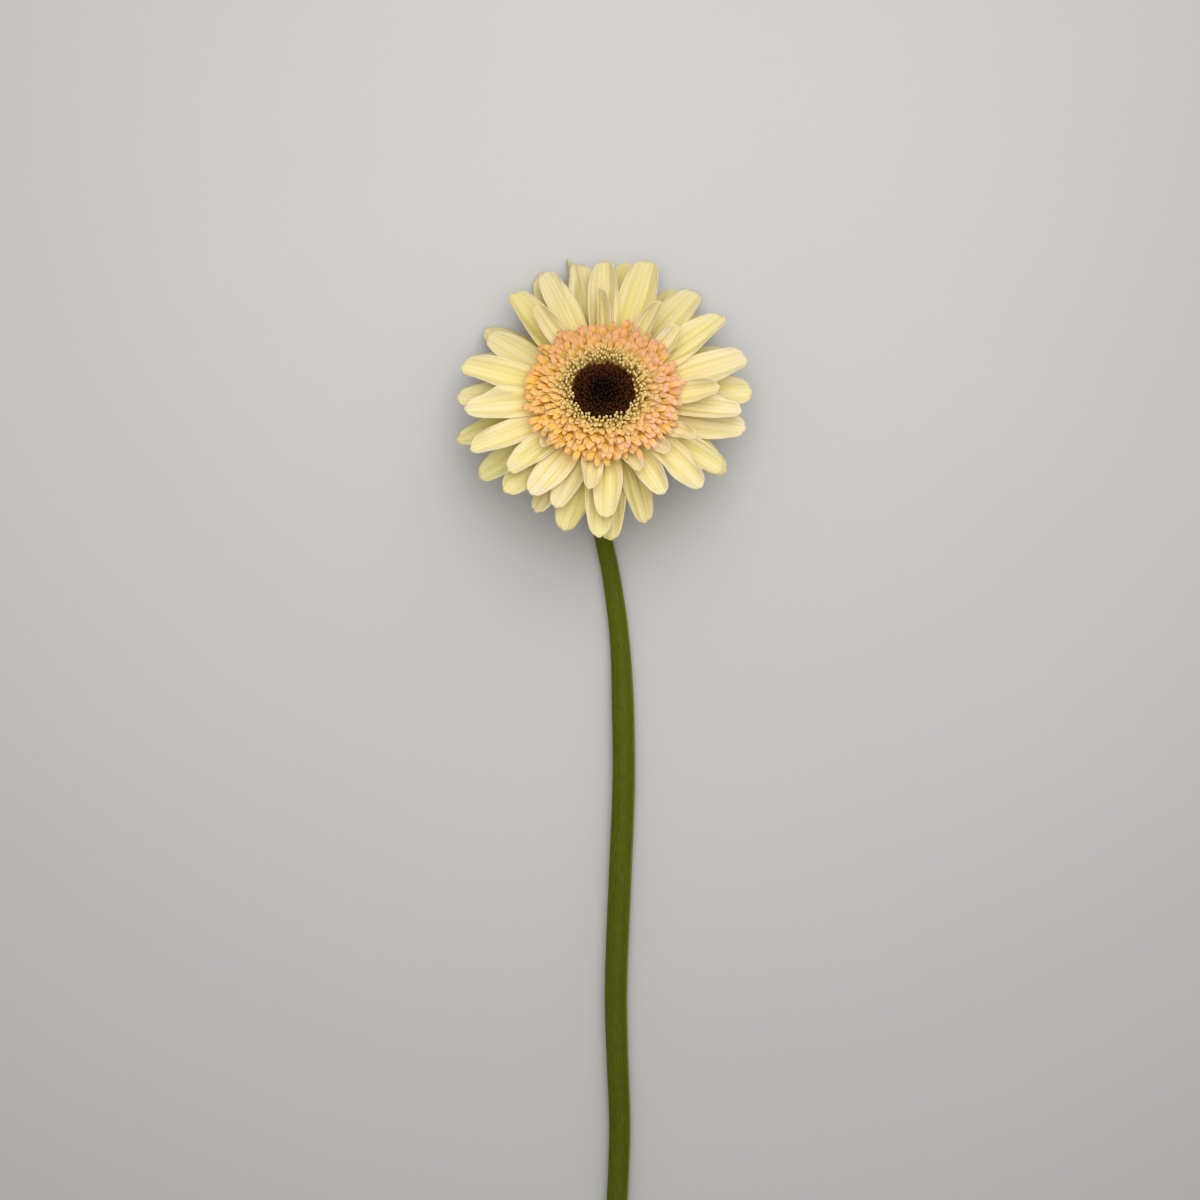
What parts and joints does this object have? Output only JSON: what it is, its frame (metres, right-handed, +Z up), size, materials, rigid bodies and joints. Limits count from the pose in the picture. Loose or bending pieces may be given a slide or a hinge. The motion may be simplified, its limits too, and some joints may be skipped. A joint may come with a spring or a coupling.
{
  "type": "cut gerbera",
  "caption": "Cut mini gerbera lying down: cream ray florets, a peach ruff round a dark eye, a green calyx and a long leafless stem.",
  "frame": {"origin": "on the surface the flower lies on, below the middle of its bounding box", "axes": "+Z up from the surface, +Y along the stem towards the head, +X to the right with the head up the page"},
  "size_m": [0.0734, 0.4358, 0.0342],
  "materials": {
    "stem_green": "satin",
    "calyx_green": "matte",
    "eye_brown": "matte",
    "anther_yellow": "matte",
    "ruff_peach": "matte",
    "petal_cream": "satin"
  },
  "bodies": {
    "root": {"calyx_bracts_inner": "calyx_green", "calyx_bracts_outer": "calyx_green", "disc_eye": "eye_brown", "disc_florets_open": "anther_yellow", "ray_floret_inner_01": "petal_cream", "ray_floret_inner_02": "petal_cream", "ray_floret_inner_03": "petal_cream", "ray_floret_inner_04": "petal_cream", "ray_floret_inner_05": "petal_cream", "ray_floret_inner_06": "petal_cream", "ray_floret_inner_07": "petal_cream", "ray_floret_inner_08": "petal_cream", "ray_floret_inner_09": "petal_cream", "ray_floret_inner_10": "petal_cream", "ray_floret_middle_01": "petal_cream", "ray_floret_middle_02": "petal_cream", "ray_floret_middle_03": "petal_cream", "ray_floret_middle_04": "petal_cream", "ray_floret_middle_05": "petal_cream", "ray_floret_middle_06": "petal_cream", "ray_floret_middle_07": "petal_cream", "ray_floret_middle_08": "petal_cream", "ray_floret_middle_09": "petal_cream", "ray_floret_middle_10": "petal_cream", "ray_floret_middle_11": "petal_cream", "ray_floret_outer_01": "petal_cream", "ray_floret_outer_02": "petal_cream", "ray_floret_outer_03": "petal_cream", "ray_floret_outer_04": "petal_cream", "ray_floret_outer_05": "petal_cream", "ray_floret_outer_06": "petal_cream", "ray_floret_outer_07": "petal_cream", "ray_floret_outer_08": "petal_cream", "ray_floret_outer_09": "petal_cream", "ray_floret_outer_10": "petal_cream", "ray_floret_outer_11": "petal_cream", "ray_floret_outer_12": "petal_cream", "ray_floret_outer_13": "petal_cream", "ray_floret_outer_14": "petal_cream", "ray_floret_outer_15": "petal_cream", "ray_floret_upper_01": "petal_cream", "ray_floret_upper_02": "petal_cream", "ray_floret_upper_03": "petal_cream", "ray_floret_upper_04": "petal_cream", "ray_floret_upper_05": "petal_cream", "ray_floret_upper_06": "petal_cream", "ray_floret_upper_07": "petal_cream", "ray_floret_upper_08": "petal_cream", "ray_floret_upper_09": "petal_cream", "ray_floret_upper_10": "petal_cream", "ray_floret_upper_11": "petal_cream", "ray_floret_upper_12": "petal_cream", "ray_floret_upper_13": "petal_cream", "ray_floret_upper_14": "petal_cream", "ray_floret_upper_15": "petal_cream", "receptacle": "calyx_green", "ruff_florets_inner": "ruff_peach", "ruff_florets_middle": "ruff_peach", "ruff_florets_outer": "ruff_peach", "stem": "stem_green"}
  },
  "joints": []
}
